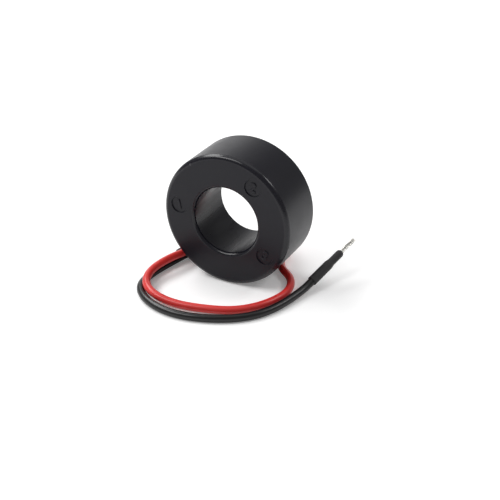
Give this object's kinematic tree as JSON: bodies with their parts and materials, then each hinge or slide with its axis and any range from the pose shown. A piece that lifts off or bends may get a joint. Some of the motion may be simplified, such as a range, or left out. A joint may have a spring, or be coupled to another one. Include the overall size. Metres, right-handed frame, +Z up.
{
  "type": "current transformer",
  "caption": "Ring current transformer: black moulded case with a round window for the measured cable, a potted toroidal coil and a red and a black flying lead with stripped ends.",
  "frame": {"origin": "on the bench, under the middle of the ring, which stands on its rim", "axes": "+Y runs along the window from the marked face to the potted back, +Z is up, +X is to the right when the marked face is seen from the front"},
  "size_m": [0.0481, 0.0501, 0.036],
  "materials": {
    "case_plastic": "satin moulded, slightly blue black",
    "potting_resin": "glossy cast epoxy",
    "soft_pad": "matt foam",
    "polyester_tape": "yellow film",
    "enamelled_copper": "enamelled copper wire",
    "box_plastic": "natural nylon",
    "core_alloy": "strip wound",
    "solder": "dull solder",
    "shrink_sleeve": "matt shrunk sleeve",
    "red_pvc": "satin",
    "black_pvc": "satin",
    "tinned_copper": "tinned strands"
  },
  "bodies": {
    "root": {"case": "case_plastic", "potting": "potting_resin", "face_pad": "soft_pad", "coil_tape": "polyester_tape", "secondary_winding": "enamelled_copper", "core_box_base": "box_plastic", "core_box_lid": "box_plastic", "core_cushion": "soft_pad", "core": "core_alloy", "black_solder_joint": "solder", "red_solder_joint": "solder", "black_joint_sleeve": "shrink_sleeve", "red_joint_sleeve": "shrink_sleeve", "black_lead": "black_pvc", "red_lead": "red_pvc", "black_conductor": "tinned_copper", "red_conductor": "tinned_copper", "black_end_sleeve": "shrink_sleeve", "red_end_sleeve": "shrink_sleeve"}
  },
  "joints": []
}
